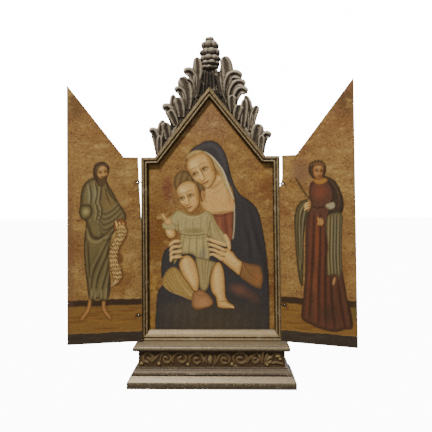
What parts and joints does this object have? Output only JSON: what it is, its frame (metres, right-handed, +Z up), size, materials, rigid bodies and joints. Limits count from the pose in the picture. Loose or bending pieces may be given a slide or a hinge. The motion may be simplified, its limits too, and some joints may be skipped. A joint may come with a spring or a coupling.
{
  "type": "triptych altarpiece",
  "caption": "Small standing triptych altarpiece in carved and gilded wood, with a gabled painted panel on a moulded base, an acanthus crest and painted wings that fold shut on wire eyes.",
  "frame": {"origin": "middle of the base's underside, below the middle of the centre panel's width and inside its thickness", "axes": "+Z up, the painted front faces -Y, +X to the right of somebody who faces the front"},
  "size_m": [0.4732, 0.0857, 0.592],
  "materials": {
    "painted_panel": "tempera and worn water gilding on a gessoed wooden panel, dry and finely cracked",
    "moulding_gilding": "thin greyish water gilding over bole on carved mouldings, rubbed on the high edges",
    "base_gilding": "darkened water gilding, brown in the recesses, bare and grey along the worn arrises",
    "carved_gilding": "dry rubbed gilding over carved wood, pale on the ribs and dark umber below them",
    "iron_wire": "dull dark hand-drawn iron wire"
  },
  "bodies": {
    "shrine": {"centre_panel": "painted_panel", "stile_left": "moulding_gilding", "shoulder_left": "moulding_gilding", "rake_left": "moulding_gilding", "rake_right": "moulding_gilding", "shoulder_right": "moulding_gilding", "stile_right": "moulding_gilding", "sill": "moulding_gilding", "base_plinth": "base_gilding", "base_frieze": "base_gilding", "base_cornice": "base_gilding", "crest_left": "carved_gilding", "crest_right": "carved_gilding", "finial": "carved_gilding", "eye_frame_left_upper": "iron_wire", "eye_frame_left_lower": "iron_wire", "eye_frame_right_upper": "iron_wire", "eye_frame_right_lower": "iron_wire"},
    "wing_left_leaf": {"wing_left": "painted_panel", "eye_wing_left_upper": "iron_wire", "eye_wing_left_lower": "iron_wire"},
    "wing_right_leaf": {"wing_right": "painted_panel", "eye_wing_right_upper": "iron_wire", "eye_wing_right_lower": "iron_wire"}
  },
  "joints": [
    {"name": "wing_left_hinge", "type": "hinge", "parent": "shrine", "child": "wing_left_leaf", "pos_m": [-0.1202, -0.0144, 0.2255], "axis": [0, 0, 1], "range_deg": [-25.5, 169.5]},
    {"name": "wing_right_hinge", "type": "hinge", "parent": "shrine", "child": "wing_right_leaf", "pos_m": [0.1202, -0.0144, 0.2315], "axis": [0, 0, -1], "range_deg": [-32, 163]}
  ]
}
